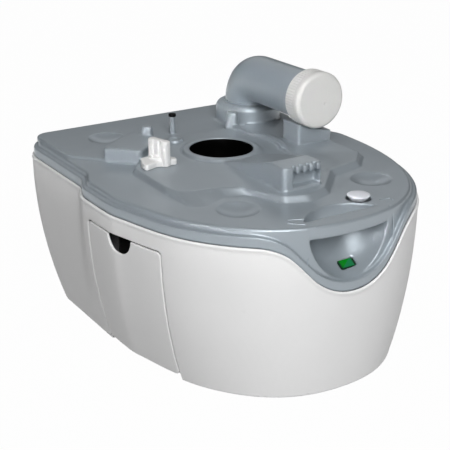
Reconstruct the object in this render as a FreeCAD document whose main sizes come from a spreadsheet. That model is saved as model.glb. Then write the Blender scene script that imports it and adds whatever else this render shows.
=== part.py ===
import FreeCAD, Part
import math
import os

import Sketcher
from FreeCAD import Placement, Rotation, Vector

# Waste-holding tank of a portable toilet: casing, tank, deck, waste valve, pour-out spout,
# air vent, level float and paper store. Millimetres, +Z up, front towards -Y, floor at z = 0.
# The origin is the middle of the footprint of the rim.

doc = FreeCAD.newDocument("WasteTank")
sheet = doc.addObject("Spreadsheet::Sheet", "Sizes")

SIZES = {
    # Plan of the rim, measured from the middle of the deck
    "half_width": 187.5,
    "front_reach": 253.7,
    "rear_reach": 211.5,
    "middle_y": 20.4,
    "front_power": 2.27,
    "rear_corner_radius": 45.0,
    "side_step": 12.3,
    "side_step_length": 45.0,
    # Casing
    "rim_height": 180.5,
    "side_taper": 27.0,
    "front_taper": 16.0,
    "rear_taper": 46.0,
    "side_taper_power": 2.2,
    "rear_taper_power": 1.4,
    "casing_wall": 3.0,
    "floor_thickness": 3.0,
    "base_fillet": 2.0,
    # Front apron of the deck
    "apron_drop": 59.0,
    "apron_bottom_radius": 70.0,
    "apron_shoulder_radius": 50.0,
    "apron_slope": 48.0,
    "bead_height": 2.4,
    "bead_proud": 0.8,
    "bead_lift": 0.8,
    "bead_gap": 0.3,
    # Deck
    "deck_height": 198.5,
    "deck_wall": 3.0,
    "skirt_inset": 2.2,
    "skirt_height": 12.0,
    "deck_inset": 8.5,
    "deck_edge_fillet": 3.0,
    # Hand bowl and carrying bar
    "bowl_half_width": 54.0,
    "bowl_depth": 52.0,
    "bowl_drop": 65.0,
    "bowl_reach": 249.0,
    "bar_inset": 9.0,
    "bar_back_reach": 222.0,
    "bar_height": 15.0,
    "bar_half_length": 60.0,
    "bar_fillet": 2.5,
    # Plateau round the waste opening
    "plateau_rise": 7.0,
    "plateau_corner_radius": 12.0,
    # Raised parts of the deck beside and behind the plateau
    "rear_level_rise": 3.5,
    "rear_level_side": 98.0,
    "rear_level_knee_x": 131.0,
    "rear_level_knee_y": 60.0,
    "rear_level_front": 20.0,
    "rear_level_corner_radius": 18.0,
    "wall_rise": 4.5,
    "wall_radius": 70.0,
    "wall_width": 8.0,
    "wall_slope": 12.0,
    "wall_front": 60.0,
    "block_rise": 17.5,
    "block_corner_radius": 5.0,
    "dish_radius": 23.5,
    "dish_depth": 6.5,
    "dish_back": 5.0,
    # Waste opening and valve
    "opening_x": -3.0,
    "opening_back": 5.5,
    "opening_radius": 38.3,
    "lip_base_radius": 50.0,
    "lip_top_radius": 45.0,
    "lip_rise": 4.0,
    "lip_fillet": 2.0,
    "neck_wall": 3.7,
    "neck_bottom": 188.0,
    "seal_height": 4.0,
    "seal_radius": 46.0,
    "seal_relief": 0.8,
    "blade_radius": 44.0,
    "blade_thickness": 3.4,
    "slide_gap": 0.3,
    "pivot_x": -92.0,
    "spindle_radius": 6.0,
    "running_gap": 0.06,
    "hub_radius": 10.0,
    "hub_height": 8.5,
    "carrier_thickness": 3.0,
    "carrier_post_radius": 5.5,
    "carrier_clearance": 6.0,
    "carrier_margin": 14.0,
    "screw_radius": 2.0,
    "screw_head_radius": 4.0,
    "screw_head_height": 2.4,
    "screw_grip": 4.0,
    # Valve knob
    "knob_base_height": 7.0,
    "knob_plate_radius": 3.0,
    "knob_plate_fillet": 1.5,
    "knob_hub_radius": 10.0,
    "knob_hub_height": 10.0,
    "knob_grip_front": 16.5,
    "knob_grip_back": 13.0,
    "knob_grip_thickness": 10.0,
    "knob_grip_turn": 18.0,
    "knob_height": 30.0,
    "knob_corner_radius": 3.6,
    "knob_fillet": 2.4,
    "knob_groove_width": 3.2,
    "knob_groove_depth": 1.6,
    "knob_groove_pitch": 8.5,
    # Latch ramp
    "ramp_half_width": 26.0,
    "ramp_start": 37.5,
    "ramp_crest": 128.5,
    "ramp_front": 157.0,
    "ramp_rise": 26.5,
    "ramp_corner_fillet": 6.5,
    "latch_slot_width": 36.0,
    "latch_slot_height": 15.0,
    "latch_slot_depth": 12.0,
    "latch_slot_lift": 3.0,
    "tooth_gap": 3.6,
    "tooth_count": 4,
    # Spout and cap
    "spout_x": 109.3,
    "spout_y": 118.1,
    "spout_axis_height": 260.6,
    "spout_radius": 29.8,
    "spout_wall": 3.0,
    "spout_bend_radius": 32.0,
    "spout_reach": 158.3,
    "spout_gap": 0.35,
    "collar_radius": 42.3,
    "collar_top": 227.0,
    "collar_flare": 1.5,
    "collar_edge_fillet": 7.5,
    "spout_foot": 10.0,
    "retainer_radius": 36.0,
    "retainer_height": 4.0,
    "ring_height": 1.8,
    "ring_width": 1.6,
    "cap_radius": 34.5,
    "cap_length": 26.0,
    "cap_wall": 2.6,
    "cap_edge_fillet": 4.5,
    "cap_rib_count": 60,
    "cap_rib_depth": 0.6,
    "cap_rib_length": 15.0,
    "liner_thickness": 1.5,
    # Saddle under the spout
    "saddle_top": 231.0,
    "saddle_gap": 0.8,
    "saddle_left": 23.0,
    "saddle_right": 27.0,
    "saddle_setback": 12.0,
    "saddle_length": 35.0,
    "saddle_corner_radius": 3.0,
    "saddle_fall": 16.0,
    # Posts behind the opening
    "post_x": -62.5,
    "post_y": 81.5,
    "post_radius": 9.0,
    "post_top_radius": 6.5,
    "post_height": 24.5,
    "pin_post_x": -11.7,
    "pin_post_y": 108.5,
    "pin_post_radius": 4.0,
    "pin_post_top_radius": 3.3,
    "pin_post_height": 22.5,
    "tip_radius": 4.8,
    "tip_height": 3.0,
    "boss_x": -32.5,
    "boss_y": 66.5,
    "boss_radius": 10.0,
    "boss_height": 4.0,
    "boss_recess_radius": 6.5,
    "boss_recess_depth": 2.4,
    "gusset_post_x": 62.0,
    "gusset_post_y": 83.0,
    "gusset_post_radius": 10.0,
    "gusset_post_top_radius": 7.0,
    "gusset_post_height": 23.5,
    "post_rib_radius": 2.2,
    # Air vent
    "vent_x": 44.5,
    "vent_reach": 196.0,
    "vent_well_radius": 13.4,
    "vent_well_depth": 10.0,
    "vent_well_wall": 2.2,
    "button_radius": 12.5,
    "button_lift": 5.0,
    "button_height": 6.5,
    "button_fillet": 2.0,
    "stem_radius": 4.0,
    "vent_disc_radius": 9.0,
    "vent_disc_height": 3.0,
    "vent_housing_radius": 13.0,
    "vent_housing_wall": 2.0,
    "vent_housing_depth": 15.0,
    "spring_radius": 9.0,
    "spring_wire_radius": 0.5,
    "spring_turns": 3.0,
    # Level window and float
    "window_x": 8.0,
    "window_reach": 226.0,
    "window_height": 141.4,
    "window_tilt": 32.0,
    "window_width": 18.6,
    "window_length": 10.6,
    "window_thickness": 3.6,
    "window_gap": 0.2,
    "float_pivot_drop": 26.0,
    "float_pin_radius": 2.0,
    "float_ear_spread": 15.0,
    "float_ear_thickness": 3.0,
    "float_ear_width": 14.0,
    "flag_radius": 20.0,
    "flag_thickness": 2.0,
    "flag_width": 21.0,
    "flag_rear_angle": 70.0,
    "flag_front_angle": 25.0,
    "float_arm_length": 85.0,
    "float_arm_radius": 2.5,
    "float_hub_radius": 4.5,
    "float_droop": 25.0,
    "float_radius": 15.0,
    "float_grip": 2.0,
    "float_length": 32.0,
    # Tank tub
    "tub_inset": 12.0,
    "tub_wall": 3.0,
    "tub_lift": 3.0,
    # Paper store
    "door_reach": 67.0,
    "door_turn": 8.8,
    "hinge_x": -148.4,
    "hinge_height": 17.0,
    "door_half_length": 64.0,
    "door_bottom": 7.0,
    "door_top": 159.0,
    "door_gap": 1.4,
    "door_corner_radius": 6.0,
    "notch_radius": 19.0,
    "door_ear_thickness": 5.0,
    "door_ear_half": 4.0,
    "door_ear_spacing": 2.5,
    "door_swing_room": 3.0,
    "door_lug_thickness": 5.0,
    "door_pin_radius": 2.0,
    "store_depth": 105.0,
    "store_setback": 8.0,
    "store_half_length": 60.0,
    "store_bottom": 24.0,
    "store_top": 156.0,
    "store_wall": 2.0,
}

for row, (alias, value) in enumerate(SIZES.items(), 1):
    sheet.set(f"A{row}", alias)
    sheet.set(f"B{row}", str(value))
    sheet.setAlias(f"B{row}", alias)
doc.recompute()

# Room that a cutting or trimming solid takes past the whole part
BEYOND = 400.0
# How far from level an edge may lie and still count as level
FLAT = 1e-4


def size(alias):
    """One driving dimension from the sheet."""
    return float(sheet.get(alias))


# Levels and places that follow from the driving dimensions
CENTRE_Y = size("middle_y")
DECK_TOP = size("deck_height")
DECK_UNDER = DECK_TOP - size("deck_wall")
PLATEAU_TOP = DECK_TOP + size("plateau_rise")
LIP_TOP = PLATEAU_TOP + size("lip_rise")
WALL_TOP = PLATEAU_TOP + size("wall_rise")
REAR_TOP = DECK_TOP + size("rear_level_rise")
SEAL_BOTTOM = size("neck_bottom") - size("seal_height")
BLADE_BOTTOM = SEAL_BOTTOM - size("slide_gap") - size("blade_thickness")
CARRIER_TOP = BLADE_BOTTOM - size("slide_gap")
BAR_BOTTOM = DECK_TOP - size("bar_height")
WELL_FLOOR = DECK_TOP - size("vent_well_depth")
PIVOT = Vector(size("pivot_x"), CENTRE_Y, 0)
SPOUT = Vector(size("spout_x"), CENTRE_Y + size("spout_y"), size("spout_axis_height"))
VENT = Vector(size("vent_x"), CENTRE_Y - size("vent_reach"), 0)
BOWL = Vector(0, CENTRE_Y - size("bowl_reach"), DECK_TOP)


def from_middle(x, y, z=0.0):
    """A point given by its place from the middle of the deck."""
    return Vector(x, CENTRE_Y + y, z)


OPENING = from_middle(size("opening_x"), size("opening_back"))
BLADE_ARM = OPENING - PIVOT


def at_opening(z):
    """The point on the axis of the waste opening at one height."""
    return OPENING + Vector(0, 0, z)


# Outlines and shells of the D-shaped tank


def outline(height, inset):
    """Closed outline of the tank at one height, drawn in by a wall or a clearance."""
    slope = max(0.0, 1.0 - height / size("rim_height"))
    half = size("half_width") - size("side_taper") * slope ** size("side_taper_power") - inset
    front = size("front_reach") - size("front_taper") * slope ** size("side_taper_power") - inset
    rear = size("rear_reach") - size("rear_taper") * slope ** size("rear_taper_power") - inset
    narrow = half - size("side_step") * (1.0 - slope)
    corner = size("rear_corner_radius") - inset
    step = size("side_step_length")
    ease = math.sin(math.radians(45.0))

    def at(x, y):
        return from_middle(x, y, height)

    front_points = []
    for degrees in range(0, 181, 15):
        cosine = math.cos(math.radians(degrees))
        sine = math.sin(math.radians(degrees))
        across = math.copysign(abs(cosine) ** (2 / size("front_power")), cosine) * half
        front_points.append(at(across, -front * sine ** (2 / size("front_power"))))
    arc = Part.BSplineCurve()
    forward = Vector(0, -1, 0)
    arc.interpolate(Points=front_points, InitialTangent=forward, FinalTangent=-forward)

    def side_step(start, end, direction):
        curve = Part.BSplineCurve()
        curve.interpolate(Points=[start, end], InitialTangent=direction, FinalTangent=direction)
        return curve.toShape()

    def rear_corner(side):
        middle = at(side * (narrow - corner + corner * ease), rear - corner + corner * ease)
        ends = [at(side * (narrow - corner), rear), at(side * narrow, rear - corner)]
        if side < 0:
            ends.reverse()
        return Part.Arc(ends[0], middle, ends[1]).toShape()

    edges = [
        Part.makeLine(at(corner - narrow, rear), at(narrow - corner, rear)),
        rear_corner(1),
        Part.makeLine(at(narrow, rear - corner), at(narrow, step)),
        side_step(at(narrow, step), at(half, 0), forward),
        arc.toShape(),
        side_step(at(-half, 0), at(-narrow, step), -forward),
        Part.makeLine(at(-narrow, step), at(-narrow, rear - corner)),
        rear_corner(-1),
    ]
    return Part.Wire(edges)


def tank_solid(inset, low, high, sections=5):
    """Solid that fills the tank's outline between two heights."""
    heights = [low + (high - low) * number / (sections - 1) for number in range(sections)]
    return Part.makeLoft([outline(height, inset) for height in heights], True, False)


def above_rim(lift):
    """Space above the lower edge of the deck, which dips in front to make the apron."""
    rim = size("rim_height") + lift
    turn = math.radians(size("apron_slope"))
    low_radius = size("apron_bottom_radius")
    high_radius = size("apron_shoulder_radius")
    rise = (low_radius + high_radius) * (1 - math.cos(turn))
    run = (size("apron_drop") - rise) / math.tan(turn)
    half = (low_radius + high_radius) * math.sin(turn) + run
    bottom = rim - size("apron_drop")

    def at(x, z):
        return Vector(x, -BEYOND, z)

    def low_arc(angle):
        return low_radius * math.sin(angle), bottom + low_radius * (1 - math.cos(angle))

    def high_arc(angle):
        return half - high_radius * math.sin(angle), rim - high_radius * (1 - math.cos(angle))

    edges = [Part.makeLine(at(-BEYOND, rim), at(-half, rim))]
    x_high, z_high = high_arc(turn)
    x_mid, z_mid = high_arc(turn / 2)
    x_low, z_low = low_arc(turn)
    edges.append(Part.Arc(at(-half, rim), at(-x_mid, z_mid), at(-x_high, z_high)).toShape())
    edges.append(Part.makeLine(at(-x_high, z_high), at(-x_low, z_low)))
    edges.append(Part.Arc(at(-x_low, z_low), at(0, bottom), at(x_low, z_low)).toShape())
    edges.append(Part.makeLine(at(x_low, z_low), at(x_high, z_high)))
    edges.append(Part.Arc(at(x_high, z_high), at(x_mid, z_mid), at(half, rim)).toShape())
    edges.append(Part.makeLine(at(half, rim), at(BEYOND, rim)))
    edges.append(Part.makeLine(at(BEYOND, rim), at(BEYOND, BEYOND)))
    edges.append(Part.makeLine(at(BEYOND, BEYOND), at(-BEYOND, BEYOND)))
    edges.append(Part.makeLine(at(-BEYOND, BEYOND), at(-BEYOND, rim)))
    front = Part.Face(Part.Wire(edges)).extrude(Vector(0, BEYOND + CENTRE_Y, 0))
    rear = Part.makeBox(2 * BEYOND, BEYOND, BEYOND - rim, Vector(-BEYOND, CENTRE_Y, rim))
    return front.fuse(rear)


def bowl_solid(margin):
    """Ellipsoid of the hand bowl, grown by a wall or a clearance."""
    radii = [size("bowl_half_width"), size("bowl_depth"), size("bowl_drop")]
    matrix = FreeCAD.Matrix()
    matrix.scale(*[radius + margin for radius in radii])
    ball = Part.makeSphere(1.0).transformGeometry(matrix)
    ball.translate(BOWL)
    return ball


def rounded_outline(points, radius):
    """Closed wire through corner points, each corner rounded by an arc."""
    edges = []
    count = len(points)
    ends = []
    for number in range(count):
        corner = points[number]
        before = (points[number - 1] - corner).normalize()
        after = (points[(number + 1) % count] - corner).normalize()
        half_angle = before.getAngle(after) / 2
        cut = radius / math.tan(half_angle)
        bisector = (before + after).normalize()
        middle = corner + bisector * (radius / math.sin(half_angle) - radius)
        ends.append((corner + before * cut, middle, corner + after * cut))
    for number in range(count):
        start, middle, end = ends[number]
        edges.append(Part.Arc(start, middle, end).toShape())
        edges.append(Part.makeLine(end, ends[(number + 1) % count][0]))
    return Part.Wire(edges)


def pad_with_soft_top(points, corner_radius, top, fillet):
    """Pad on the deck over a rounded outline, with its top edge rounded."""
    wire = rounded_outline([from_middle(x, y, DECK_UNDER) for x, y in points], corner_radius)
    solid = Part.Face(wire).extrude(Vector(0, 0, top - DECK_UNDER))
    return solid.makeFillet(fillet, edges_at(solid, top))


def edges_at(solid, height):
    """Edges that lie wholly at one height."""
    found = []
    for edge in solid.Edges:
        box = edge.BoundBox
        if abs(box.ZMin - height) < FLAT and abs(box.ZMax - height) < FLAT:
            found.append(edge)
    return found


def add_feature(label, shape):
    """One sub-part whose shape is worked out here from the sheet."""
    feature = doc.addObject("Part::Feature", label)
    feature.Label = label
    feature.Shape = shape
    feature.Placement = shape.Placement
    return feature


# Door frame: local X points into the tank, local Y runs back along the hinge line

DOOR_FRAME = Placement(
    from_middle(size("hinge_x"), -size("door_reach"), size("hinge_height")),
    Rotation(Vector(0, 0, 1), size("door_turn")),
)


def door_box(low, high):
    """Box between two corners of the door frame."""
    box = Part.makeBox(high.x - low.x, high.y - low.y, high.z - low.z, low)
    box.Placement = DOOR_FRAME.multiply(box.Placement)
    return box


def door_prism(margin):
    """Space of the door, with rounded top corners, grown by a gap on each side."""
    half = size("door_half_length") + margin
    low = size("door_bottom") - size("hinge_height") - margin
    high = size("door_top") - size("hinge_height") + margin
    outer = -BEYOND / 4
    points = [Vector(outer, y, z) for y, z in ((-half, low), (half, low), (half, high), (-half, high))]
    wire = rounded_outline(points, size("door_corner_radius"))
    inner = size("door_ear_half") + size("door_ear_spacing")
    solid = Part.Face(wire).extrude(Vector(inner - outer, 0, 0))
    solid.Placement = DOOR_FRAME.multiply(solid.Placement)
    return solid


def door_cylinder(radius, start, end):
    """Cylinder on the hinge line between two places along it."""
    rod = Part.makeCylinder(radius, end - start, Vector(0, start, 0), Vector(0, 1, 0))
    rod.Placement = DOOR_FRAME.multiply(rod.Placement)
    return rod


def casing_shell():
    """Tapered shell with a floor, as high as the rim everywhere."""
    rim = size("rim_height")
    outer = tank_solid(0.0, 0.0, rim)
    outer = outer.makeFillet(size("base_fillet"), edges_at(outer, 0.0))
    inner = tank_solid(size("casing_wall"), size("floor_thickness"), rim)
    return outer.cut(inner)


def rim_bead():
    """Rounded white edge of the casing, which stands a little proud and clasps the skirt of the deck."""
    low = size("rim_height") - size("apron_drop") - size("bead_height") - size("bead_lift")
    high = size("rim_height") + size("bead_lift")
    outer = tank_solid(-size("bead_proud"), low, high)
    inner = tank_solid(size("skirt_inset") - size("bead_gap"), low, high)
    band = above_rim(-size("bead_height")).cut(above_rim(size("bead_lift")))
    return outer.cut(inner).common(band)


def make_outer_casing():
    half = size("door_half_length") + size("door_gap")
    swing = size("door_ear_half") + size("door_ear_spacing")
    below = door_box(Vector(-BEYOND / 4, -half, -size("hinge_height")), Vector(swing, half, 0))
    shell = casing_shell().cut(above_rim(-size("bead_gap"))).cut(door_prism(size("door_gap"))).cut(below)
    shell = shell.fuse(rim_bead())
    lug = size("door_lug_thickness")
    lugs = [hinge_block(start, lug) for start in (-half - lug, half)]
    pins = [door_cylinder(size("door_pin_radius"), start, start + lug) for start in (-half - lug, half)]
    return add_feature("outer_casing", shell.fuse(lugs).cut(pins))


def hinge_block(start, thickness):
    """Block on the inside of the casing wall that carries one end of the hinge line."""
    ear = size("door_ear_half")
    low = Vector(-size("casing_wall") - ear, start, -ear)
    block = door_box(low, Vector(ear, start + thickness, ear))
    return block.common(tank_solid(0.0, 0.0, size("rim_height")))


def make_paper_door():
    half = size("door_half_length")
    thick = size("door_ear_thickness")
    notch_start = Vector(-BEYOND / 4, 0, size("door_top") - size("hinge_height"))
    notch = Part.makeCylinder(size("notch_radius"), BEYOND, notch_start, Vector(1, 0, 0))
    notch.Placement = DOOR_FRAME.multiply(notch.Placement)
    ears = [hinge_block(start, thick) for start in (-half, half - thick)]
    bore = door_cylinder(size("door_pin_radius") + size("running_gap"), -half, half)
    door = casing_shell().common(door_prism(0.0)).cut(notch)
    return add_feature("paper_door", door.fuse(ears).cut(bore))


def make_tank_tub():
    low = size("tub_lift")
    wall = size("tub_wall")
    inset = size("tub_inset")
    outer = tank_solid(inset, low, DECK_UNDER)
    inner = tank_solid(inset + wall, low + wall, DECK_UNDER)

    def niche(margin):
        swing = size("hinge_height") - size("door_bottom") + size("door_swing_room")
        base = -size("hinge_height")
        half = size("store_half_length") + margin
        back = size("store_setback") + size("store_depth") + margin
        bottom = size("store_bottom") + base - margin
        top = size("store_top") + base + margin
        deep = door_box(Vector(-BEYOND / 4, -half, bottom), Vector(back, half, top))
        door_half = size("door_half_length") + size("door_lug_thickness") + margin
        shallow_top = size("store_bottom") + margin
        shallow = door_box(
            Vector(-BEYOND / 4, -door_half, base - margin),
            Vector(swing + margin, door_half, shallow_top),
        )
        return deep.fuse(shallow)

    gap = size("slide_gap")
    inner = inner.cut(niche(gap + wall))
    tub = outer.cut(inner).cut(niche(gap))
    half = size("bar_half_length") + gap
    back = CENTRE_Y - size("bar_back_reach") + gap
    bar_room = Part.makeBox(2 * half, BEYOND, BEYOND, Vector(-half, back - BEYOND, BAR_BOTTOM - gap))
    return add_feature("tank_tub", tub.cut([bowl_solid(size("deck_wall") + gap), bar_room]))


# Deck, built up from its shell, pads and posts


def deck_shell():
    """Rim, apron and flat top, hollow from below."""
    low = size("rim_height") - size("apron_drop") - size("skirt_height")
    top = tank_solid(size("deck_inset"), low, DECK_TOP)
    top = top.makeFillet(size("deck_edge_fillet"), edges_at(top, DECK_TOP))
    ledge = above_rim(size("skirt_height")).cut(top)
    solid = tank_solid(size("skirt_inset"), low, DECK_TOP).common(above_rim(0.0)).cut(ledge)
    hollow = tank_solid(size("deck_inset") + size("deck_wall"), low, DECK_UNDER)
    return solid.cut(hollow)


# Corners of the plateau at its foot and at its top, from the middle of the deck
PLATEAU_FOOT = [
    (-92, 43), (-126, 0), (-127, -80), (-124, -128), (-104, -133), (-78, -119), (-50, -128), (-34, -170),
    (-6, -180), (26, -170), (68, -126), (112, -117), (139, -88), (139, 85), (-46, 85),
]
PLATEAU_EDGE = [
    (-92, 40), (-122, 0), (-123, -72), (-119, -92), (-104, -99), (-76, -105), (-54, -118), (-32, -164),
    (-6, -174), (23, -164), (64, -121), (110, -111), (134, -85), (134, 82), (-46, 82),
]


def plateau():
    """Raised pad round the opening with sloping sides, two lobes and a nose in front."""
    radius = size("plateau_corner_radius")
    sunk = size("deck_wall") / size("plateau_rise")
    base = []
    edge = []
    for foot, top in zip(PLATEAU_FOOT, PLATEAU_EDGE):
        foot = from_middle(*foot, DECK_TOP)
        edge.append(from_middle(*top, PLATEAU_TOP))
        base.append(foot + (foot - edge[-1]) * sunk)
    return Part.makeLoft([rounded_outline(points, radius) for points in (base, edge)], True, True)


def rear_level():
    """Slightly raised rear part of the deck."""
    edge = size("deck_inset") + size("deck_edge_fillet")
    half = size("half_width") - size("side_step") - edge
    rear = size("rear_reach") - edge
    side = size("rear_level_side")
    knee = (size("rear_level_knee_x"), size("rear_level_knee_y"))
    front = size("rear_level_front")
    right = [(-PIVOT.x, front), knee, (half, side), (half, rear)]
    left = [(-x, y) for x, y in reversed(right)]
    radius = size("rear_level_corner_radius")
    return pad_with_soft_top(right + left, radius, REAR_TOP, size("rear_level_rise") / 2)


def curved_wall():
    """Low wall beside the opening, from the rear post round to the ramp, sloping down outwards."""
    inner = size("wall_radius")
    crest = inner + size("wall_width")
    foot = crest + size("wall_slope")
    ring = Part.makeCone(foot, crest, size("wall_rise"), at_opening(PLATEAU_TOP))
    ring = ring.fuse(Part.makeCylinder(foot, PLATEAU_TOP - DECK_UNDER, at_opening(DECK_UNDER)))
    ring = ring.cut(Part.makeCylinder(inner, BEYOND, OPENING))
    left = size("gusset_post_x") - size("wall_width") / 2
    deep = size("wall_front") + foot
    ring = ring.common(Part.makeBox(BEYOND, deep, BEYOND, from_middle(left, -size("wall_front"))))
    post_side = size("gusset_post_x") - size("opening_x")
    start = size("opening_back") + math.sqrt((inner + crest) ** 2 / 4 - post_side ** 2)
    length = size("gusset_post_y") - start
    low = from_middle(left, start, DECK_UNDER)
    return ring.fuse(Part.makeBox(size("wall_width"), length, WALL_TOP - DECK_UNDER, low))


# Corners of the step block behind the knob, from the middle of the deck
BLOCK_CORNERS = [(-134, 61), (-100, 26), (-60, 58), (-60, 98), (-84, 98)]


def rear_block():
    """Step block behind the knob."""
    radius = size("block_corner_radius")
    return pad_with_soft_top(BLOCK_CORNERS, radius, DECK_TOP + size("block_rise"), radius / 3)


def latch_ramp():
    """Ramp in front of the opening, with a latch slot under a row of teeth."""
    half = size("ramp_half_width")
    base = DECK_UNDER
    crest = PLATEAU_TOP + size("ramp_rise")
    profile = [
        (size("ramp_start"), base),
        (size("ramp_start"), PLATEAU_TOP + size("lip_rise") / 2),
        (size("ramp_crest"), crest),
        (size("ramp_front"), crest),
        (size("ramp_front"), base),
    ]
    wire = Part.makePolygon([from_middle(-half, -y, z) for y, z in profile + profile[:1]])
    solid = Part.Face(wire).extrude(Vector(2 * half, 0, 0))
    corners = []
    for edge in solid.Edges:
        box = edge.BoundBox
        upright = box.XLength + box.YLength < FLAT
        if upright and box.YMin < CENTRE_Y - size("ramp_crest"):
            corners.append(edge)
    solid = solid.makeFillet(size("ramp_corner_fillet"), corners)
    tops = [edge for edge in solid.Edges if edge.BoundBox.ZMin > PLATEAU_TOP + size("lip_rise")]
    solid = solid.makeFillet(size("ramp_corner_fillet") / 4, tops)
    slot = size("latch_slot_width")
    start_x = half - slot - size("ramp_corner_fillet") / 2
    slot_low = PLATEAU_TOP + size("latch_slot_lift")
    corner = from_middle(start_x, -size("ramp_front"), slot_low)
    solid = solid.cut(Part.makeBox(slot, size("latch_slot_depth"), size("latch_slot_height"), corner))
    pitch = slot / size("tooth_count")
    for number in range(int(size("tooth_count"))):
        place = corner + Vector(number * pitch, 0, 0)
        solid = solid.cut(Part.makeBox(size("tooth_gap"), size("latch_slot_depth") / 2, BEYOND, place))
    return solid


def saddle():
    """Rest for the spout: a tall left wall, and a trough that is open to the right."""
    front = SPOUT.y - size("spout_reach") + size("saddle_setback")
    back = front + size("saddle_length")
    left = SPOUT.x - size("saddle_left")
    right = SPOUT.x + size("saddle_right")
    low = DECK_UNDER
    corners = [(left, front), (right, front), (right, back), (left, back)]
    wire = rounded_outline([Vector(x, y, low) for x, y in corners], size("saddle_corner_radius"))
    solid = Part.Face(wire).extrude(Vector(0, 0, size("saddle_top") - low))
    trough = size("cap_radius") + size("saddle_gap")
    start = Vector(SPOUT.x, front, SPOUT.z - trough)
    along = Vector(0, 1, 0)
    solid = solid.cut(Part.makeCylinder(trough, BEYOND, start + Vector(0, -BEYOND / 2, trough), along))
    open_side = Part.makeBox(BEYOND, BEYOND, BEYOND, start + Vector(0, -BEYOND / 2, 0))
    open_side.rotate(start, along, size("saddle_fall"))
    return solid.cut(open_side)


def collar():
    """Collar that holds the spout, flared at its foot."""
    radius = size("collar_radius")
    top = size("collar_top")
    solid = Part.makeCylinder(radius, top - DECK_UNDER, Vector(SPOUT.x, SPOUT.y, DECK_UNDER))
    solid = solid.makeFillet(size("collar_edge_fillet"), edges_at(solid, top))
    flare = size("collar_flare")
    base = Vector(SPOUT.x, SPOUT.y, REAR_TOP)
    return solid.fuse(Part.makeCone(radius + flare, radius, 2 * flare, base))


def opening_lip():
    """Rounded lip round the opening and the neck below it."""
    rise = size("lip_rise")
    lip = Part.makeCone(size("lip_base_radius"), size("lip_top_radius"), rise, at_opening(PLATEAU_TOP))
    lip = lip.makeFillet(size("lip_fillet"), edges_at(lip, LIP_TOP))
    neck = size("opening_radius") + size("neck_wall")
    bottom = size("neck_bottom")
    return lip.fuse(Part.makeCylinder(neck, PLATEAU_TOP - bottom, at_opening(bottom)))


def tapered_post(name):
    """Tapered post on the rear level, with a slim rib up its front."""
    foot = from_middle(size(f"{name}_x"), size(f"{name}_y"), REAR_TOP)
    tall = size(f"{name}_height")
    top_radius = size(f"{name}_top_radius")
    post = Part.makeCone(size(f"{name}_radius"), top_radius, tall, foot)
    rib_radius = size("post_rib_radius")
    rib = Part.makeCylinder(rib_radius, tall - rib_radius, foot - Vector(0, top_radius, 0))
    return post.fuse(rib)


def deck_posts():
    """Posts and the boss behind the opening."""
    foot = from_middle(size("pin_post_x"), size("pin_post_y"), REAR_TOP)
    tall = size("pin_post_height")
    pin = Part.makeCylinder(size("pin_post_radius"), tall / 2, foot)
    pin = pin.fuse(Part.makeCylinder(size("pin_post_top_radius"), tall, foot))
    boss_foot = from_middle(size("boss_x"), size("boss_y"), PLATEAU_TOP)
    boss = Part.makeCylinder(size("boss_radius"), size("boss_height"), boss_foot)
    recess_foot = boss_foot + Vector(0, 0, size("boss_height") - size("boss_recess_depth"))
    boss = boss.cut(Part.makeCylinder(size("boss_recess_radius"), size("boss_recess_depth"), recess_foot))
    return [tapered_post("post"), tapered_post("gusset_post"), pin, boss]


# Middles of the round dishes in the deck, from the middle of the deck
FRONT_DISHES = [(-84, -156), (96, -154)]
REAR_DISH = (-91, 135)


def dish(x, y, level):
    """Ball that presses a shallow round dish into the deck."""
    radius = size("dish_radius")
    depth = size("dish_depth")
    ball = (radius ** 2 + depth ** 2) / (2 * depth)
    return Part.makeSphere(ball, from_middle(x, y, level + ball - depth), Vector(1, 0, 0))


def vent_well(margin, floor):
    """Round well of the vent button."""
    foot = Vector(VENT.x, VENT.y, floor)
    return Part.makeCylinder(size("vent_well_radius") + margin, DECK_TOP - floor, foot)


# Directions of three carrier posts from the pivot of the valve, in degrees
BEHIND_PIVOT = 215
BESIDE_CLOSED_BLADE = 10
BESIDE_OPEN_BLADE = 60


def carrier_posts():
    """Middles of the four carrier posts, clear of the swing of the blade."""
    room = size("carrier_post_radius") + size("carrier_clearance")
    beyond_blade = BLADE_ARM.Length + size("blade_radius") + room

    def round_pivot(degrees, distance):
        angle = math.radians(degrees)
        return PIVOT + Vector(math.cos(angle), math.sin(angle), 0) * distance

    return [
        round_pivot(BEHIND_PIVOT, size("hub_radius") + room),
        OPENING - Vector(0, size("blade_radius") + room, 0),
        round_pivot(BESIDE_CLOSED_BLADE, beyond_blade),
        round_pivot(BESIDE_OPEN_BLADE, beyond_blade),
    ]


WINDOW = Placement(
    from_middle(size("window_x"), -size("window_reach"), size("window_height")),
    Rotation(Vector(1, 0, 0), size("window_tilt")),
)


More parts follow.
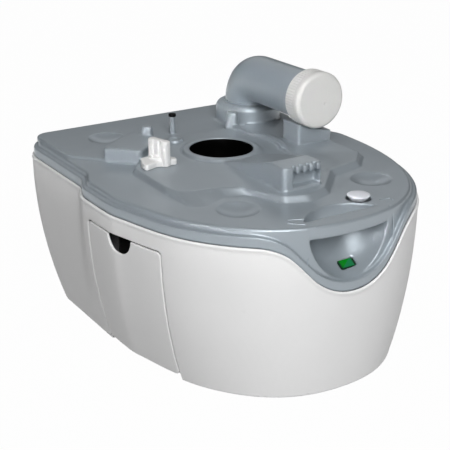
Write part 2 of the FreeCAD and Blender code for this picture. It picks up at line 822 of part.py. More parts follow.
def make_tank_deck():
    wall = size("deck_wall")
    inside = tank_solid(size("deck_inset") + wall / 2, BAR_BOTTOM - BEYOND / 4, DECK_TOP)
    deck = deck_shell().fuse(bowl_solid(wall).common(inside))
    pads = [rear_level(), curved_wall(), rear_block(), latch_ramp(), saddle(), collar(), opening_lip()]
    deck = deck.fuse(plateau().fuse(pads + deck_posts()))
    backs = [vent_well(size("vent_well_wall"), WELL_FLOOR - wall)]
    for x, y in FRONT_DISHES + [REAR_DISH]:
        place = from_middle(x, y, DECK_UNDER - size("dish_back"))
        backs.append(Part.makeCylinder(size("dish_radius") + wall, size("dish_back"), place))
    deck = deck.fuse(backs).fuse(carrying_bar())
    cuts = [dish(x, y, DECK_TOP) for x, y in FRONT_DISHES]
    cuts.append(dish(*REAR_DISH, REAR_TOP))
    cuts.append(vent_well(0.0, WELL_FLOOR))
    running = size("running_gap")
    cuts.append(Part.makeCylinder(size("opening_radius"), BEYOND, OPENING))
    cuts.append(Part.makeCylinder(size("spindle_radius") + running, BEYOND, PIVOT))
    spout_bore = size("spout_radius") + size("spout_gap")
    cuts.append(Part.makeCylinder(spout_bore, BEYOND, Vector(SPOUT.x, SPOUT.y, 0)))
    for post in carrier_posts():
        place = post + Vector(0, 0, DECK_UNDER)
        cuts.append(Part.makeCylinder(size("screw_radius"), size("screw_grip"), place))
    deck = deck.cut(cuts).cut(bowl_solid(0.0).cut(carrying_bar()))
    stem = Part.makeCylinder(size("stem_radius") + running, BEYOND, VENT)
    return add_feature("tank_deck", deck.cut(stem).cut(window_hole()))


def window_hole():
    """Hole for the level window, through the wall of the hand bowl."""
    gap = size("window_gap")
    width = size("window_width") + 2 * gap
    length = size("window_length") + 2 * gap
    depth = size("float_pivot_drop")
    hole = Part.makeBox(width, length, depth, Vector(-width / 2, -length / 2, -depth / 2))
    hole.Placement = WINDOW.multiply(hole.Placement)
    return hole


def carrying_bar():
    """Bar across the top of the hand bowl."""
    half = size("bar_half_length")
    back = CENTRE_Y - size("bar_back_reach")
    block = Part.makeBox(2 * half, BEYOND, size("bar_height"), Vector(-half, back - BEYOND, BAR_BOTTOM))
    bar = block.common(tank_solid(size("bar_inset"), BAR_BOTTOM, DECK_TOP))
    long_edges = [edge for edge in bar.Edges if edge.BoundBox.XLength > half]
    return bar.makeFillet(size("bar_fillet"), long_edges)


# Bodies made from sketches


def new_body(label):
    body = doc.addObject("PartDesign::Body", label)
    body.Label = label
    return body


def put(body, x, y, z, rotation=None):
    """Place a body, with its position bound to the sheet."""
    body.Placement = Placement(Vector(), rotation or Rotation())
    for axis, expression in (("x", x), ("y", y), ("z", z)):
        body.setExpression(f"Placement.Base.{axis}", expression)
    return body


def new_sketch(body, name, lift=None, role="XY_Plane"):
    sketch = body.newObject("Sketcher::SketchObject", name)
    plane = next(feature for feature in body.Origin.OriginFeatures if feature.Role == role)
    sketch.AttachmentSupport = [(plane, "")]
    sketch.MapMode = "FlatFace"
    if lift:
        sketch.setExpression("AttachmentOffset.Base.z", lift)
    return sketch


def bind(sketch, constraint, expression):
    number = sketch.addConstraint(constraint)
    sketch.setExpression(f"Constraints[{number}]", expression)


def draw_circle(sketch, radius, x=None, y=None):
    """Circle with its radius, and its middle if it is off the origin, bound to the sheet."""
    circle = sketch.addGeometry(Part.Circle(Vector(1, 1, 0), Vector(0, 0, 1), 1.0))
    bind(sketch, Sketcher.Constraint("Radius", circle, 1.0), radius)
    if x is None:
        sketch.addConstraint(Sketcher.Constraint("Coincident", circle, 3, -1, 1))
        return circle
    bind(sketch, Sketcher.Constraint("DistanceX", -1, 1, circle, 3, 1.0), x)
    bind(sketch, Sketcher.Constraint("DistanceY", -1, 1, circle, 3, 1.0), y)
    return circle


def draw_rectangle(sketch, left, right, low, high):
    """Rectangle whose four sides are bound to the sheet as distances from the origin."""
    corners = [Vector(-1, -1, 0), Vector(1, -1, 0), Vector(1, 1, 0), Vector(-1, 1, 0)]
    first = sketch.GeometryCount
    for number in range(4):
        sketch.addGeometry(Part.LineSegment(corners[number], corners[(number + 1) % 4]))
    for number in range(4):
        after = first + (number + 1) % 4
        sketch.addConstraint(Sketcher.Constraint("Coincident", first + number, 2, after, 1))
    for number, direction in enumerate(("Horizontal", "Vertical", "Horizontal", "Vertical")):
        sketch.addConstraint(Sketcher.Constraint(direction, first + number))
    bind(sketch, Sketcher.Constraint("DistanceX", -1, 1, first, 1, -1.0), left)
    bind(sketch, Sketcher.Constraint("DistanceX", -1, 1, first, 2, 1.0), right)
    bind(sketch, Sketcher.Constraint("DistanceY", -1, 1, first, 1, -1.0), low)
    bind(sketch, Sketcher.Constraint("DistanceY", -1, 1, first + 2, 1, 1.0), high)


def pad(body, sketch, length, name):
    feature = body.newObject("PartDesign::Pad", name)
    feature.Profile = sketch
    feature.setExpression("Length", length)
    return feature


def disc(body, name, radius, height, lift=None, bore=None):
    """Round pad, with a bore if one is given, standing on a lifted plane."""
    sketch = new_sketch(body, f"{name}_sketch", lift)
    draw_circle(sketch, radius)
    if bore:
        draw_circle(sketch, bore)
    return pad(body, sketch, height, name)


def round_edges(body, name, base, radius, wanted):
    """Fillet on the edges of a feature that pass a test."""
    doc.recompute()
    names = [f"Edge{number}" for number, edge in enumerate(base.Shape.Edges, 1) if wanted(edge)]
    fillet = body.newObject("PartDesign::Fillet", name)
    fillet.Base = (base, names)
    fillet.setExpression("Radius", radius)
    return fillet


def at_height(height):
    return lambda edge: max(abs(edge.BoundBox.ZMin - height), abs(edge.BoundBox.ZMax - height)) < FLAT


# Heights of the valve's pieces as expressions of the sheet
SEAL_Z = "Sizes.neck_bottom - Sizes.seal_height"
BLADE_Z = f"{SEAL_Z} - Sizes.slide_gap - Sizes.blade_thickness"
CARRIER_Z = f"{BLADE_Z} - Sizes.slide_gap - Sizes.carrier_thickness"
UNDER_Z = "Sizes.deck_height - Sizes.deck_wall"
PLATEAU_Z = "Sizes.deck_height + Sizes.plateau_rise"
REAR_Z = "Sizes.deck_height + Sizes.rear_level_rise"
WELL_Z = "Sizes.deck_height - Sizes.vent_well_depth"
HUB_TOP_Z = f"{BLADE_Z} + Sizes.blade_thickness + Sizes.hub_height"


def make_valve_lip_seal():
    body = put(new_body("valve_lip_seal"), "Sizes.opening_x", "Sizes.middle_y + Sizes.opening_back", SEAL_Z)
    bore = "Sizes.opening_radius + Sizes.seal_relief"
    disc(body, "lip_seal_ring", "Sizes.seal_radius", "Sizes.seal_height", bore=bore)
    return body


def make_valve_blade():
    turn = Rotation(Vector(1, 0, 0), BLADE_ARM)
    body = put(new_body("valve_blade"), "Sizes.pivot_x", "Sizes.middle_y", BLADE_Z, turn)
    reach = "sqrt((Sizes.opening_x - Sizes.pivot_x) ^ 2 + Sizes.opening_back ^ 2)"
    sketch = new_sketch(body, "blade_disc_sketch")
    draw_circle(sketch, "Sizes.blade_radius", reach, "0")
    pad(body, sketch, "Sizes.blade_thickness", "blade_disc")
    arm = new_sketch(body, "blade_arm_sketch")
    draw_rectangle(arm, "0", reach, "-Sizes.hub_radius", "Sizes.hub_radius")
    pad(body, arm, "Sizes.blade_thickness", "blade_arm")
    disc(body, "blade_hub", "Sizes.hub_radius", "Sizes.blade_thickness + Sizes.hub_height")
    sketch = new_sketch(body, "blade_bore_sketch")
    draw_circle(sketch, "Sizes.spindle_radius")
    bore = body.newObject("PartDesign::Pocket", "blade_bore")
    bore.Profile = sketch
    bore.Type = "ThroughAll"
    bore.Midplane = True
    return body


def make_valve_spindle():
    body = put(new_body("valve_spindle"), "Sizes.pivot_x", "Sizes.middle_y", BLADE_Z)
    grip = "Sizes.slide_gap + Sizes.knob_hub_height"
    disc(body, "spindle_shaft", "Sizes.spindle_radius", f"{PLATEAU_Z} + {grip} - ({BLADE_Z})")
    return body


def make_spindle_seal():
    lift = f"{HUB_TOP_Z} + Sizes.slide_gap"
    body = put(new_body("spindle_seal"), "Sizes.pivot_x", "Sizes.middle_y", lift)
    bore = "Sizes.spindle_radius + Sizes.slide_gap"
    disc(body, "spindle_ring", "Sizes.hub_radius", f"{UNDER_Z} - ({lift})", bore=bore)
    return body


# Corners of the knob's base plate, from its pivot: a point to the front left and a tab to the right
KNOB_PLATE = [(-17, 12), (-24, -3), (-25, -17), (-8, -11), (8, -13), (17, -14), (19, -7), (12, 6), (4, 14)]


def make_valve_knob():
    """Base plate with an upright grip across it, grooved on both sides."""
    plate = Part.Face(rounded_outline([Vector(x, y, 0) for x, y in KNOB_PLATE], size("knob_plate_radius")))
    plate = plate.extrude(Vector(0, 0, size("knob_base_height")))
    plate = plate.makeFillet(size("knob_plate_fillet"), edges_at(plate, size("knob_base_height")))
    hub = Part.makeCylinder(size("knob_hub_radius"), size("knob_hub_height"))
    half = size("knob_grip_thickness") / 2
    front = -size("knob_grip_front")
    back = size("knob_grip_back")
    high = size("knob_height")
    corners = [Vector(-half, front, 0), Vector(half, front, 0), Vector(half, back, 0), Vector(-half, back, 0)]
    grip = Part.Face(rounded_outline(corners, size("knob_corner_radius"))).extrude(Vector(0, 0, high))
    grip = grip.makeFillet(size("knob_fillet"), edges_at(grip, high))
    width = size("knob_groove_width")
    depth = size("knob_groove_depth")
    pitch = size("knob_groove_pitch")
    middle = (front + back) / 2
    grooves = []
    for place in (middle - pitch / 2, middle + pitch / 2):
        for side in (-half, half):
            low = Vector(side - depth, place - width / 2, size("knob_hub_height"))
            grooves.append(Part.makeBox(2 * depth, width, high, low))
    grip = grip.cut(grooves)
    grip.rotate(Vector(), Vector(0, 0, 1), size("knob_grip_turn"))
    bore = Part.makeCylinder(size("spindle_radius"), size("knob_hub_height"))
    feature = add_feature("valve_knob", plate.fuse([hub, grip]).cut(bore))
    feature.Placement = Placement(PIVOT + Vector(0, 0, PLATEAU_TOP + size("slide_gap")), Rotation())
    return feature


def make_valve_carrier():
    """Tray under the blade, hung from the deck by four posts."""
    posts = carrier_posts()
    margin = size("carrier_margin")
    left = posts[0].x - margin
    corners = [
        Vector(left, posts[0].y - margin, CARRIER_TOP),
        Vector(posts[1].x, posts[1].y - margin, CARRIER_TOP),
        Vector(posts[2].x + margin, posts[2].y, CARRIER_TOP),
        Vector(posts[3].x, posts[3].y + margin, CARRIER_TOP),
        Vector(left, posts[3].y, CARRIER_TOP),
    ]
    wire = rounded_outline(corners, margin)
    tray = Part.Face(wire).extrude(Vector(0, 0, -size("carrier_thickness")))
    tray = tray.cut(Part.makeCylinder(size("opening_radius"), BEYOND, OPENING))
    tall = DECK_UNDER - CARRIER_TOP
    feet = [post + Vector(0, 0, CARRIER_TOP) for post in posts]
    tray = tray.fuse([Part.makeCylinder(size("carrier_post_radius"), tall, foot) for foot in feet])
    tray = tray.cut([Part.makeCylinder(size("screw_radius"), BEYOND, post) for post in posts])
    return add_feature("valve_carrier", tray)


def make_valve_screws():
    screws = []
    for number, post in enumerate(carrier_posts(), 1):
        body = new_body(f"valve_screw_{number}")
        put(body, str(post.x), str(post.y), f"{CARRIER_Z} - Sizes.screw_head_height")
        disc(body, f"screw_head_{number}", "Sizes.screw_head_radius", "Sizes.screw_head_height")
        length = f"{UNDER_Z} + Sizes.screw_grip - ({CARRIER_Z}) + Sizes.screw_head_height"
        disc(body, f"screw_shank_{number}", "Sizes.screw_radius", length)
        screws.append(body)
    return screws


def make_spout_elbow():
    body = put(new_body("spout_elbow"), "Sizes.spout_x", "Sizes.middle_y + Sizes.spout_y", "0")
    bend = size("spout_bend_radius")
    foot = DECK_UNDER - size("spout_foot")
    end = size("spout_reach") - size("cap_wall") - size("liner_thickness") - 2 * size("slide_gap")
    path = new_sketch(body, "spout_path", role="YZ_Plane")
    axis = SPOUT.z
    ease = math.sqrt(0.5)
    up = path.addGeometry(Part.LineSegment(Vector(0, foot, 0), Vector(0, axis - bend, 0)))
    turn = Part.Arc(
        Vector(0, axis - bend, 0),
        Vector(bend * (ease - 1), axis - bend + bend * ease, 0),
        Vector(-bend, axis, 0),
    )
    elbow = path.addGeometry(turn)
    along = path.addGeometry(Part.LineSegment(Vector(-bend, axis, 0), Vector(-end, axis, 0)))
    arc_start = path.Geometry[elbow].StartPoint
    first = 1 if arc_start.distanceToPoint(Vector(0, axis - bend, 0)) < FLAT else 2
    path.addConstraint(Sketcher.Constraint("Tangent", up, 2, elbow, first))
    path.addConstraint(Sketcher.Constraint("Tangent", elbow, 3 - first, along, 1))
    path.addConstraint(Sketcher.Constraint("Vertical", up))
    path.addConstraint(Sketcher.Constraint("PointOnObject", up, 1, -2))
    bind(path, Sketcher.Constraint("DistanceY", -1, 1, up, 1, foot), f"{UNDER_Z} - Sizes.spout_foot")
    bind(path, Sketcher.Constraint("DistanceY", -1, 1, along, 2, axis), "Sizes.spout_axis_height")
    path.addConstraint(Sketcher.Constraint("Horizontal", along))
    bind(path, Sketcher.Constraint("Radius", elbow, bend), "Sizes.spout_bend_radius")
    end_length = "Sizes.spout_reach - Sizes.cap_wall - Sizes.liner_thickness - 2 * Sizes.slide_gap"
    bind(path, Sketcher.Constraint("DistanceX", along, 2, -1, 1, end), end_length)
    ring = new_sketch(body, "spout_section", f"{UNDER_Z} - Sizes.spout_foot")
    draw_circle(ring, "Sizes.spout_radius")
    draw_circle(ring, "Sizes.spout_radius - Sizes.spout_wall")
    pipe = body.newObject("PartDesign::AdditivePipe", "spout_pipe")
    pipe.Profile = ring
    pipe.Spine = path
    return body


def make_spout_retainer():
    lift = f"{UNDER_Z} - Sizes.slide_gap - Sizes.retainer_height"
    body = put(new_body("spout_retainer"), "Sizes.spout_x", "Sizes.middle_y + Sizes.spout_y", lift)
    disc(body, "retainer_ring", "Sizes.retainer_radius", "Sizes.retainer_height", bore="Sizes.spout_radius")
    return body


def make_spout_seal():
    lift = "Sizes.collar_top + Sizes.slide_gap"
    body = put(new_body("spout_seal"), "Sizes.spout_x", "Sizes.middle_y + Sizes.spout_y", lift)
    bore = "Sizes.spout_radius + Sizes.spout_gap"
    disc(body, "spout_ring", f"{bore} + Sizes.ring_width", "Sizes.ring_height", bore=bore)
    return body


FORWARD = Rotation(Vector(1, 0, 0), 90)


def make_spout_cap():
    """Cap whose closed end lies at the end of the spout; its axis points forward."""
    back = "Sizes.middle_y + Sizes.spout_y - Sizes.spout_reach + Sizes.cap_length"
    body = put(new_body("spout_cap"), "Sizes.spout_x", back, "Sizes.spout_axis_height", FORWARD)
    closed = disc(body, "cap_body", "Sizes.cap_radius", "Sizes.cap_length")
    length = size("cap_length")
    round_edges(body, "cap_round", closed, "Sizes.cap_edge_fillet", at_height(length))
    sketch = new_sketch(body, "cap_bore_sketch")
    draw_circle(sketch, "Sizes.cap_radius - Sizes.cap_wall")
    bore = body.newObject("PartDesign::Pocket", "cap_bore")
    bore.Profile = sketch
    bore.Reversed = True
    bore.setExpression("Length", "Sizes.cap_length - Sizes.cap_wall")
    groove_sketch = new_sketch(body, "cap_groove_sketch")
    draw_circle(groove_sketch, "Sizes.cap_rib_depth", "Sizes.cap_radius", "0")
    groove = body.newObject("PartDesign::Pocket", "cap_groove")
    groove.Profile = groove_sketch
    groove.Reversed = True
    groove.setExpression("Length", "Sizes.cap_rib_length")
    pattern = body.newObject("PartDesign::PolarPattern", "cap_ribs")
    pattern.Originals = [groove]
    pattern.Axis = (groove_sketch, ["N_Axis"])
    pattern.Angle = 360
    pattern.setExpression("Occurrences", "Sizes.cap_rib_count")
    body.Tip = pattern
    return body


def make_cap_liner():
    back = "Sizes.middle_y + Sizes.spout_y - Sizes.spout_reach + Sizes.cap_wall + Sizes.slide_gap"
    back = f"{back} + Sizes.liner_thickness"
    body = put(new_body("cap_liner"), "Sizes.spout_x", back, "Sizes.spout_axis_height", FORWARD)
    radius = "Sizes.cap_radius - Sizes.cap_wall - Sizes.slide_gap"
    disc(body, "liner_disc", radius, "Sizes.liner_thickness")
    return body


def make_vent_button():
    lift = "Sizes.deck_height + Sizes.button_lift - Sizes.button_height"
    body = put(new_body("vent_button"), "Sizes.vent_x", "Sizes.middle_y - Sizes.vent_reach", lift)
    top = disc(body, "button_disc", "Sizes.button_radius", "Sizes.button_height")
    round_edges(body, "button_round", top, "Sizes.button_fillet", at_height(size("button_height")))
    return body


def make_vent_stem():
    low = f"{WELL_Z} - Sizes.deck_wall - Sizes.slide_gap - Sizes.vent_disc_height"
    body = put(new_body("vent_stem"), "Sizes.vent_x", "Sizes.middle_y - Sizes.vent_reach", low)
    high = "Sizes.deck_height + Sizes.button_lift - Sizes.button_height"
    disc(body, "stem_rod", "Sizes.stem_radius", f"{high} - ({low})")
    return body


def make_vent_disc():
    low = f"{WELL_Z} - Sizes.deck_wall - Sizes.slide_gap - Sizes.vent_disc_height"
    body = put(new_body("vent_disc"), "Sizes.vent_x", "Sizes.middle_y - Sizes.vent_reach", low)
    disc(body, "vent_washer", "Sizes.vent_disc_radius", "Sizes.vent_disc_height", bore="Sizes.stem_radius")
    return body


def make_vent_housing():
    low = f"{WELL_Z} - Sizes.deck_wall - Sizes.vent_housing_depth"
    body = put(new_body("vent_housing"), "Sizes.vent_x", "Sizes.middle_y - Sizes.vent_reach", low)
    bore = "Sizes.vent_housing_radius - Sizes.vent_housing_wall"
    disc(body, "vent_cage", "Sizes.vent_housing_radius", "Sizes.vent_housing_depth", bore=bore)
    return body


def make_vent_spring():
    """Coil spring between the floor of the well and the button, as half turns of tangent arcs."""
    wire = size("spring_wire_radius")
    radius = size("spring_radius")
    turns = size("spring_turns")
    room = size("button_lift") - size("button_height") + size("vent_well_depth")
    rise = room - 2 * wire - size("slide_gap")
    helix = Part.makeHelix(rise / turns, rise, radius)
    arcs = []
    for edge in helix.Edges:
        arcs += [arc.toShape() for arc in edge.Curve.toBSpline(*edge.ParameterRange).toBiArcs(wire / 10)]
    path = Part.Wire(arcs)
    start = path.Edges[0]
    along = start.tangentAt(start.FirstParameter)
    section = Part.Wire(Part.makeCircle(wire, start.valueAt(start.FirstParameter), along))
    feature = add_feature("vent_spring", path.makePipeShell([section], True, False))
    feature.Placement = Placement(VENT + Vector(0, 0, WELL_FLOOR + wire), Rotation())
    return feature


def make_level_window():
    body = put(
        new_body("level_window"), "Sizes.window_x", "Sizes.middle_y - Sizes.window_reach",
        "Sizes.window_height", Rotation(Vector(1, 0, 0), size("window_tilt")),
    )
    sketch = new_sketch(body, "pane_sketch", "-Sizes.window_thickness")
    half_width = "Sizes.window_width / 2"
    half_length = "Sizes.window_length / 2"
    draw_rectangle(sketch, f"-{half_width}", half_width, f"-{half_length}", half_length)
    pad(body, sketch, "Sizes.window_thickness", "pane")
    return body


# Float lever: local X is the pivot, local Y points back along the arm
FLOAT_PIVOT = WINDOW.multVec(Vector(0, 0, -size("float_pivot_drop")))


def make_float_pin():
    half = size("float_ear_spread") + size("float_ear_thickness")
    start = FLOAT_PIVOT - Vector(half, 0, 0)
    pin = Part.makeCylinder(size("float_pin_radius"), 2 * half, start, Vector(1, 0, 0))
    return add_feature("float_pin", pin)


def make_float_bracket():
    """Two ears that hang the float pin under the hand bowl, joined by a bridge."""
    spread = size("float_ear_spread")
    thick = size("float_ear_thickness")
    width = size("float_ear_width")
    ears = []
    for start in (-spread - thick, spread):
        low = FLOAT_PIVOT + Vector(start, -width / 2, -width / 2)
        ears.append(Part.makeBox(thick, width, BEYOND / 8, low))
    bridge_low = FLOAT_PIVOT + Vector(-spread, width / 2 - thick, size("flag_radius") + thick)
    bridge = Part.makeBox(2 * spread, thick, BEYOND / 8, bridge_low)
    bracket = ears[0].fuse([ears[1], bridge])
    bracket = bracket.cut(bowl_solid(size("deck_wall") + size("slide_gap")))
    bracket = max(bracket.Solids, key=lambda solid: solid.Volume)
    half = spread + thick
    start = FLOAT_PIVOT - Vector(half, 0, 0)
    bore = Part.makeCylinder(size("float_pin_radius"), 2 * half, start, Vector(1, 0, 0))
    return add_feature("float_bracket", bracket.cut(bore))


def make_float_arm():
    """Hub on the pin with a rod to the float."""
    hub_half = size("flag_width") / 2
    hub = Part.makeCylinder(size("float_hub_radius"), 2 * hub_half, Vector(-hub_half, 0, 0), Vector(1, 0, 0))
    rod = Part.makeCylinder(size("float_arm_radius"), size("float_arm_length"), Vector(), Vector(0, 1, 0))
    bore_radius = size("float_pin_radius") + size("running_gap")
    bore = Part.makeCylinder(bore_radius, 2 * hub_half, Vector(-hub_half, 0, 0), Vector(1, 0, 0))
    feature = add_feature("float_arm", hub.fuse(rod).cut(bore))
    feature.Placement = Placement(FLOAT_PIVOT, Rotation(Vector(1, 0, 0), -size("float_droop")))
    return feature


def make_float_ball():
    """Round-ended float at the end of the arm."""
    half = size("float_length") / 2
    radius = size("float_radius")
    middle = Vector(0, size("float_arm_length") + radius - size("float_grip"), 0)
    ball = Part.makeCylinder(radius, 2 * half, middle - Vector(half, 0, 0), Vector(1, 0, 0))
    ball = ball.makeFillet(radius / 3, ball.Edges[:1] + ball.Edges[2:])
    rod = Part.makeCylinder(size("float_arm_radius"), size("float_arm_length"), Vector(), Vector(0, 1, 0))
    feature = add_feature("float_ball", ball.cut(rod))
    feature.Placement = Placement(FLOAT_PIVOT, Rotation(Vector(1, 0, 0), -size("float_droop")))
    return feature


def make_indicator_flag():
    """Curved flag that turns under the window, on a web from the hub."""
    half = size("flag_width") / 2
    outer = size("flag_radius")
    inner = outer - size("flag_thickness")
    web = size("flag_thickness") / 2

    def sector(side, low, high):
        corners = [Vector(-side, 0, low), Vector(side, 0, low), Vector(side, 0, high), Vector(-side, 0, high)]
        face = Part.Face(Part.makePolygon(corners + corners[:1]))
        face.rotate(Vector(), Vector(1, 0, 0), -size("flag_rear_angle"))
        return face.revolve(Vector(), Vector(1, 0, 0), size("flag_rear_angle") + size("flag_front_angle"))

    flag = sector(half, inner, outer).fuse(sector(web, 0.0, outer))
    hub = Part.makeCylinder(size("float_hub_radius"), 4 * half, Vector(-2 * half, 0, 0), Vector(1, 0, 0))
    feature = add_feature("indicator_flag", flag.cut(hub))
    feature.Placement = Placement(FLOAT_PIVOT, Rotation(Vector(1, 0, 0), size("window_tilt")))
    return feature


def make_post_tip():
    lift = f"{REAR_Z} + Sizes.pin_post_height"
    body = put(new_body("post_tip"), "Sizes.pin_post_x", "Sizes.middle_y + Sizes.pin_post_y", lift)
    disc(body, "tip_disc", "Sizes.tip_radius", "Sizes.tip_height")
    return body


def make_paper_compartment():
    """Open box behind the door."""
    turn = Rotation(Vector(0, 0, 1), size("door_turn"))
    body = put(
        new_body("paper_compartment"), "Sizes.hinge_x", "Sizes.middle_y - Sizes.door_reach",
        "Sizes.store_bottom", turn,
    )
    front = "Sizes.store_setback"
    back = "Sizes.store_setback + Sizes.store_depth"
    half = "Sizes.store_half_length"
    outer = new_sketch(body, "store_outer_sketch")
    draw_rectangle(outer, front, back, f"-{half}", half)
    pad(body, outer, "Sizes.store_top - Sizes.store_bottom", "store_outer")
    inner = new_sketch(body, "store_inner_sketch", "Sizes.store_wall")
    inner_half = f"{half} - Sizes.store_wall"
    draw_rectangle(inner, front, f"{back} - Sizes.store_wall", f"-({inner_half})", inner_half)
    pocket = body.newObject("PartDesign::Pocket", "store_inner")
    pocket.Profile = inner
    pocket.Reversed = True
    pocket.setExpression("Length", "Sizes.store_top - Sizes.store_bottom - 2 * Sizes.store_wall")
    return body


def make_door_pins():
    start = size("door_half_length") - size("door_ear_thickness")
    end = size("door_half_length") + size("door_gap") + size("door_lug_thickness")
    rear = add_feature("door_pin_rear", door_cylinder(size("door_pin_radius"), start, end))
    front = add_feature("door_pin_front", door_cylinder(size("door_pin_radius"), -end, -start))
    return [rear, front]


parts = [
    make_outer_casing(),
    make_paper_door(),
    make_tank_tub(),
    make_tank_deck(),
    make_valve_carrier(),
    make_vent_spring(),
    make_float_pin(),
    make_float_bracket(),
    make_float_arm(),
    make_float_ball(),
    make_indicator_flag(),
    make_valve_lip_seal(),
    make_valve_blade(),
    make_valve_spindle(),
    make_spindle_seal(),
    make_valve_knob(),
    make_spout_elbow(),
    make_spout_retainer(),
    make_spout_seal(),
    make_spout_cap(),
    make_cap_liner(),
    make_vent_button(),
    make_vent_stem(),
    make_vent_disc(),
    make_vent_housing(),
    make_level_window(),
    make_post_tip(),
    make_paper_compartment(),
]
parts += make_valve_screws() + make_door_pins()
doc.recompute()

for item in doc.Objects:
    if "Invalid" in item.State or "Error" in item.State:
        raise RuntimeError(f"{item.Label} failed: {item.State}")
for part in parts:
    if part.Shape.isNull() or not part.Shape.isValid():
        raise RuntimeError(f"{part.Label} has no valid shape")

os.makedirs("parts", exist_ok=True)
for part in parts:
    part.Shape.exportStep(f"parts/{part.Label}.step")
    print(part.Label, len(part.Shape.Solids), round(part.Shape.Volume), part.Shape.BoundBox)
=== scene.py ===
import math

import bmesh
import bpy
from mathutils import Matrix, Vector


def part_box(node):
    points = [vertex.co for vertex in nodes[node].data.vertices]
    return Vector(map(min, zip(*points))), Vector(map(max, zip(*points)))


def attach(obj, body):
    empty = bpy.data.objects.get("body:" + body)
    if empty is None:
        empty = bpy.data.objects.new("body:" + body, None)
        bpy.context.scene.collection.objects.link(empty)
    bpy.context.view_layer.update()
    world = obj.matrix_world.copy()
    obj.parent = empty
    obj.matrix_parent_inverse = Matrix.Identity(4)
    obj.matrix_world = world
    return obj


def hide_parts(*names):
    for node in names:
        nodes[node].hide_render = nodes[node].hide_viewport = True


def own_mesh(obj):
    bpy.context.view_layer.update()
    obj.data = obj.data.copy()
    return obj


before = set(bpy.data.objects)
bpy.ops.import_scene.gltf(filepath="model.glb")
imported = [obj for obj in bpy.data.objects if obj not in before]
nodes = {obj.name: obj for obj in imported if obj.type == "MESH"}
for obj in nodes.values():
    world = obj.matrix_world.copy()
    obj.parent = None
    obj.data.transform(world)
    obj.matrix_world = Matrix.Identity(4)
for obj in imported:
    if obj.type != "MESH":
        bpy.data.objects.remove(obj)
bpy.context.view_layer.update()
scene = bpy.context.scene

# Materials

CLOUD_SCALE = 14.0
CLOUD_DARK_END = 0.3
CLOUD_PALE_END = 0.7
GLOSS_SCALE = 60.0
GLOSS_CHANGE = 0.05
GRAIN_SCALE = 1400.0
GRAIN_DETAIL = 2.0
GRAIN_DEPTH = 0.0004


def new_material(name, color, roughness):
    """A shader with its plain values set; returns the material, its nodes, its links and the shader."""
    material = bpy.data.materials.new(name)
    material.use_nodes = True
    tree = material.node_tree
    shader = tree.nodes["Principled BSDF"]
    shader.inputs["Base Color"].default_value = (*color, 1.0)
    shader.inputs["Roughness"].default_value = roughness
    return material, tree.nodes, tree.links, shader


def add_noise(tree_nodes, links, scale, detail=3.0):
    """Noise in the object's own coordinates."""
    place = tree_nodes.new("ShaderNodeTexCoord")
    noise = tree_nodes.new("ShaderNodeTexNoise")
    noise.inputs["Scale"].default_value = scale
    noise.inputs["Detail"].default_value = detail
    links.new(place.outputs["Object"], noise.inputs["Vector"])
    return noise


def uneven_gloss(tree_nodes, links, shader, scale, smoothest, roughest):
    """Let the roughness wander between two values over the surface."""
    gloss = tree_nodes.new("ShaderNodeMapRange")
    gloss.inputs["To Min"].default_value = smoothest
    gloss.inputs["To Max"].default_value = roughest
    links.new(add_noise(tree_nodes, links, scale).outputs["Fac"], gloss.inputs["Value"])
    links.new(gloss.outputs["Result"], shader.inputs["Roughness"])


def moulded_plastic(name, color, roughness, grain=0.02, mottle=0.03, mirror=0.5, pearl=0.0):
    """Injection-moulded plastic with faint clouds, uneven gloss and a fine grain.

    Mirror is the strength of its reflections, and pearl is its share of metal flake.
    """
    material, tree_nodes, links, shader = new_material(name, color, roughness)
    shader.inputs["Specular IOR Level"].default_value = mirror
    shader.inputs["Metallic"].default_value = pearl
    cloud = add_noise(tree_nodes, links, CLOUD_SCALE)
    ramp = tree_nodes.new("ShaderNodeValToRGB")
    dark, pale = ramp.color_ramp.elements
    dark.position = CLOUD_DARK_END
    pale.position = CLOUD_PALE_END
    dark.color = (*[channel * (1 - mottle) for channel in color], 1.0)
    pale.color = (*[min(1.0, channel * (1 + mottle)) for channel in color], 1.0)
    links.new(cloud.outputs["Fac"], ramp.inputs["Fac"])
    links.new(ramp.outputs["Color"], shader.inputs["Base Color"])
    smoothest = roughness - GLOSS_CHANGE
    roughest = roughness + GLOSS_CHANGE
    uneven_gloss(tree_nodes, links, shader, GLOSS_SCALE, smoothest, roughest)
    bump = tree_nodes.new("ShaderNodeBump")
    bump.inputs["Strength"].default_value = grain
    bump.inputs["Distance"].default_value = GRAIN_DEPTH
    fine = add_noise(tree_nodes, links, GRAIN_SCALE, GRAIN_DETAIL)
    links.new(fine.outputs["Fac"], bump.inputs["Height"])
    links.new(bump.outputs["Normal"], shader.inputs["Normal"])
    return material


CASING_WHITE = moulded_plastic("casing_white", (0.80, 0.80, 0.80), 0.42, grain=0.03, mottle=0.012)
DECK_GREY = moulded_plastic(
    "deck_grey", (0.330, 0.372, 0.406), 0.36, grain=0.01, mottle=0.015, pearl=0.35
)
SPOUT_GREY = moulded_plastic(
    "spout_grey", (0.240, 0.279, 0.310), 0.33, grain=0.01, mottle=0.015, mirror=0.8
)
CAP_WHITE = moulded_plastic("cap_white", (0.65, 0.65, 0.635), 0.40, mottle=0.015)
KNOB_WHITE = moulded_plastic("knob_white", (0.70, 0.70, 0.695), 0.36, mottle=0.01)
BUTTON_WHITE = moulded_plastic("button_white", (0.68, 0.70, 0.75), 0.34, mottle=0.01)
BLACK_PLASTIC = moulded_plastic("black_plastic", (0.002, 0.002, 0.002), 0.22, mottle=0.1, mirror=0.2)
TUB_PLASTIC = moulded_plastic("tub_plastic", (0.30, 0.31, 0.32), 0.55, grain=0.06)
# Near black: painted shade of the closed compartment, seen through the door's notch
STORE_PAINTED_SHADE = moulded_plastic("store_painted_shade", (0.03, 0.03, 0.03), 0.60, grain=0.06)
